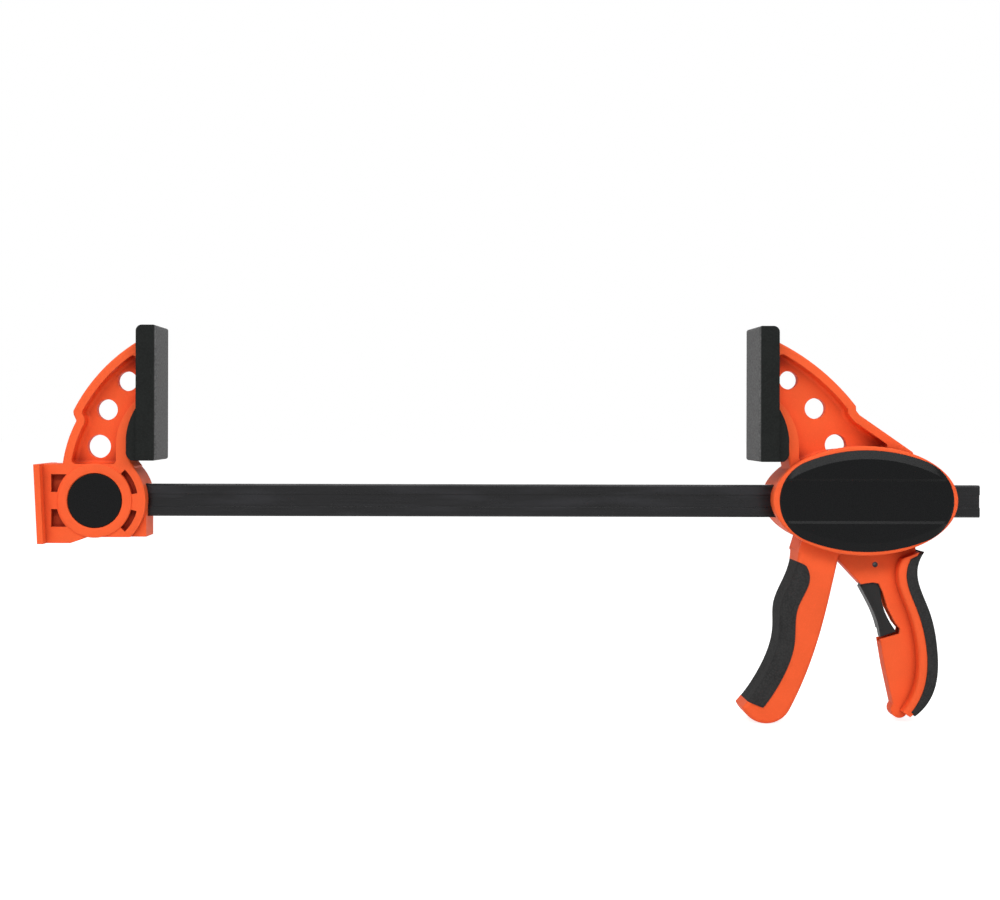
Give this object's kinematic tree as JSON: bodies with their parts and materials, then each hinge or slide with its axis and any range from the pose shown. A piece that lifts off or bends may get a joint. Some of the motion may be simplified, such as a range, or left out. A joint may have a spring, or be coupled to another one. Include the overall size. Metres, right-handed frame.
{
  "type": "quick release bar clamp",
  "caption": "One-hand bar clamp: a fixed jaw and a sliding jaw on a flat steel bar, with a squeeze trigger, a release lever and soft pads.",
  "frame": {"origin": "centre of the fixed jaw's pad face", "axes": "+X along the bar from the fixed jaw to the moving jaw, +Z from the bar to the jaws' tips, -Y the side of the lock button"},
  "size_m": [0.4677, 0.0372, 0.196],
  "materials": {
    "orange_nylon": "moulded glass-filled nylon, satin",
    "cover_plastic": "moulded, fine matt grain",
    "lever_plastic": "moulded, satin",
    "grip_rubber": "soft overmould, matt",
    "pad_rubber": "moulded thermoplastic rubber, lightly textured face",
    "bar_steel": "blackened carbon steel, light scratches",
    "pin_steel": "plain steel",
    "plated_steel": "zinc plated",
    "spring_steel": "drawn spring wire"
  },
  "bodies": {
    "root": {"bar": "bar_steel", "bar_stop_pin": "pin_steel", "fixed_jaw": "orange_nylon", "fixed_jaw_pad": "pad_rubber", "button_rear_cap": "orange_nylon", "button_spring": "spring_steel"},
    "lock_button": {"push_button": "cover_plastic", "lock_yoke": "plated_steel"},
    "jaw": {"moving_jaw": "orange_nylon", "moving_jaw_pad": "pad_rubber", "front_cover": "cover_plastic", "rear_cover": "cover_plastic", "rear_grip": "grip_rubber", "trigger_pin": "pin_steel", "lever_pin": "pin_steel", "drive_spring": "spring_steel", "brake_spring": "spring_steel"},
    "squeeze": {"trigger": "orange_nylon", "trigger_grip": "grip_rubber"},
    "drive": {"drive_plate_front": "plated_steel", "drive_plate_rear": "plated_steel"},
    "brake": {"brake_plate_front": "plated_steel", "brake_plate_rear": "plated_steel"},
    "release": {"release_lever": "lever_plastic"}
  },
  "joints": [
    {"name": "jaw_slide", "type": "slide", "parent": "root", "child": "jaw", "axis": [1, 0, 0], "range_m": [-0.2947, 0.01]},
    {"name": "trigger_squeeze", "type": "hinge", "parent": "jaw", "child": "squeeze", "pos_m": [0.3325, 0, -0.0382], "axis": [0, -1, 0], "range_deg": [0, 22], "stiffness_Nm_per_rad": 0.4, "springref_deg": -34.38, "deforming": ["drive_spring"]},
    {"name": "drive_travel", "type": "slide", "parent": "jaw", "child": "drive", "axis": [1, 0, 0], "range_m": [0, 0.011]},
    {"name": "release_pull", "type": "hinge", "parent": "jaw", "child": "release", "pos_m": [0.3553, 0, -0.0845], "axis": [0, -1, 0], "range_deg": [0, 10], "stiffness_Nm_per_rad": 0.04, "springref_deg": -17.19, "deforming": ["brake_spring"]},
    {"name": "brake_tilt", "type": "hinge", "parent": "jaw", "child": "brake", "pos_m": [0.36085, 0, -0.0422], "axis": [0, -1, 0], "range_deg": [0, 2.1]},
    {"name": "button_press", "type": "slide", "parent": "root", "child": "lock_button", "axis": [0, 1, 0], "range_m": [0, 0.0036], "stiffness_N_per_m": 300, "springref_m": -0.004, "deforming": ["button_spring"]}
  ],
  "couplings": [
    {"joint": "drive_travel", "follows": "trigger_squeeze", "m_per_rad": 0.028455},
    {"joint": "brake_tilt", "follows": "release_pull", "ratio": 0.2}
  ]
}
